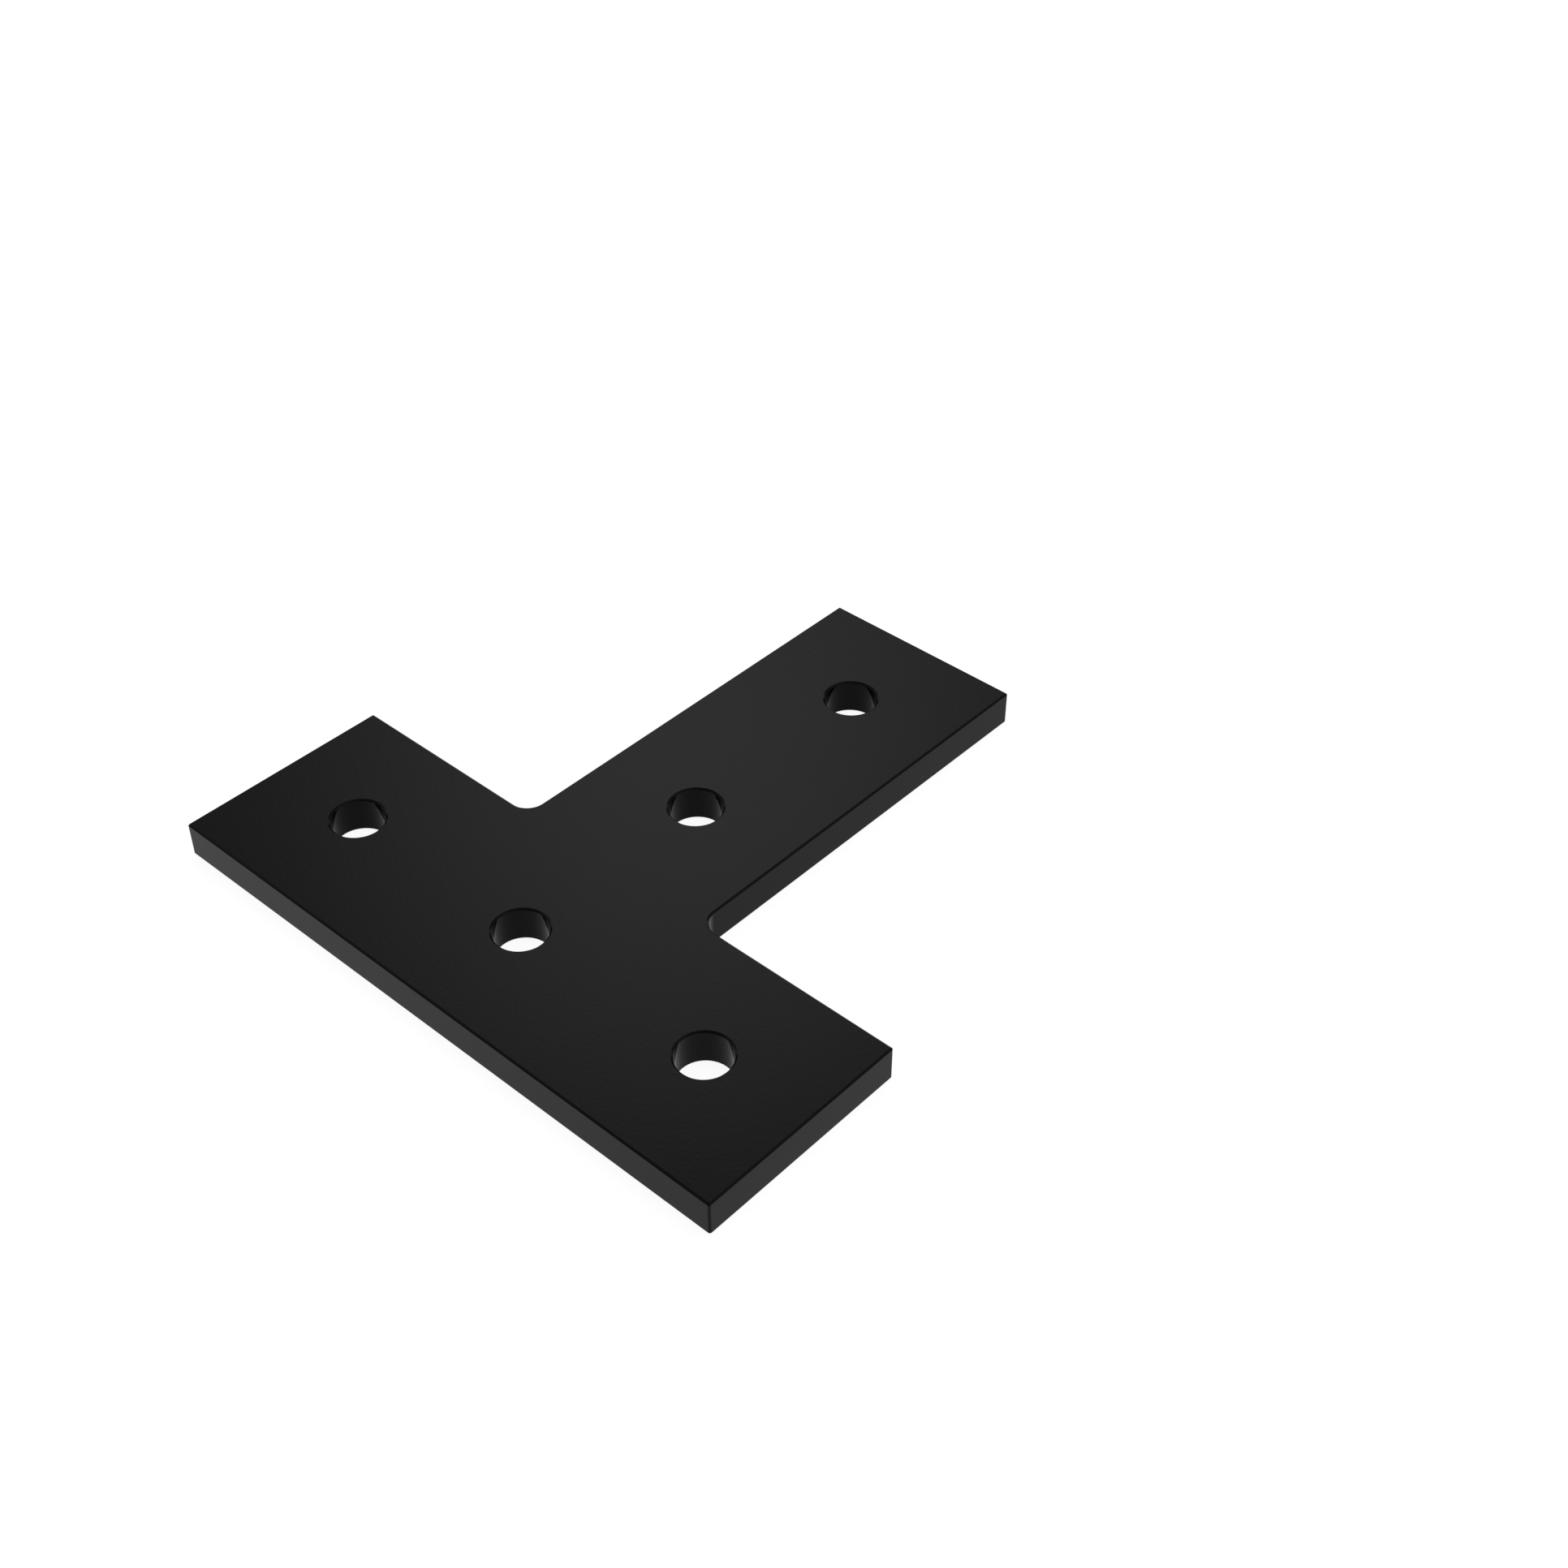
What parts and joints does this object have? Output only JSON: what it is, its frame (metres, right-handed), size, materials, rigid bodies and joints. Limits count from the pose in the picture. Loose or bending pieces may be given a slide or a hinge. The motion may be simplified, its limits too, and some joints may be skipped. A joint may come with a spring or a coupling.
{
  "type": "extrusion joining plate",
  "caption": "Flat black T-shaped plate with round bolt holes along its crossbar and stem, for joining aluminium framing extrusions in a T.",
  "frame": {"origin": "axis of the crossbar's middle hole, in the face that lies on the profiles", "axes": "+X along the crossbar, +Y along the stem from the crossbar to its free end, +Z out of the face that takes the bolt heads"},
  "size_m": [0.09, 0.09, 0.005],
  "materials": {
    "black_coat": "black coat over aluminium, semi-gloss, with a very fine grain"
  },
  "bodies": {
    "root": {"joining_plate": "black_coat"}
  },
  "joints": []
}
